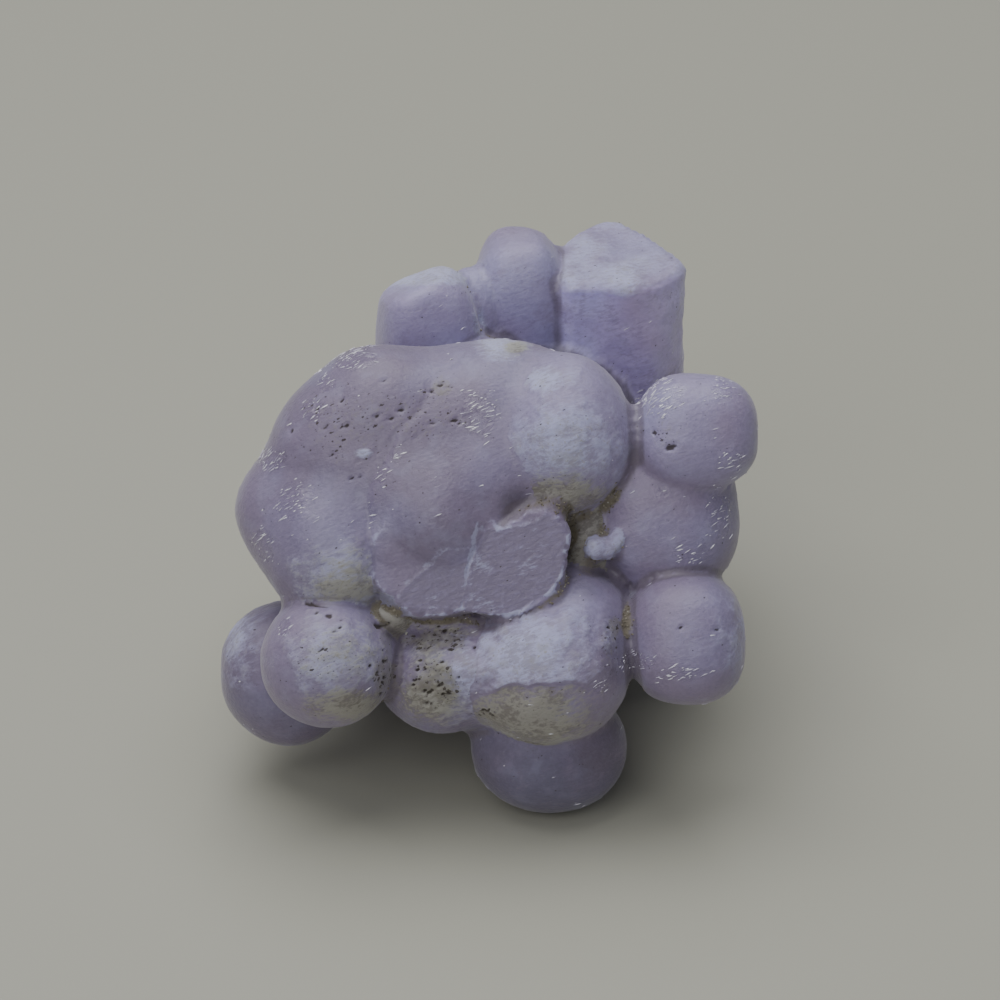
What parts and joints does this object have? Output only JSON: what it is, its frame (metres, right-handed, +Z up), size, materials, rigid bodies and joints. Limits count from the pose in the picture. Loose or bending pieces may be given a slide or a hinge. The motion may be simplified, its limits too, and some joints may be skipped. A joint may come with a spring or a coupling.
{
  "type": "grape agate",
  "caption": "Free-standing natural cluster of rounded milky lilac chalcedony grapes with white rinds, a broken face and an angular column at the back.",
  "frame": {"origin": "middle of the bounding box, on the surface that the stone rests on", "axes": "+Z up, -Y towards the showing face, which leans back 33 degrees, and +X to its right"},
  "size_m": [0.0275, 0.0273, 0.0228],
  "materials": {
    "lilac_chalcedony": "waxy, milky and barely translucent, with matt white rinds"
  },
  "bodies": {
    "root": {"grape_agate": "lilac_chalcedony"}
  },
  "joints": []
}
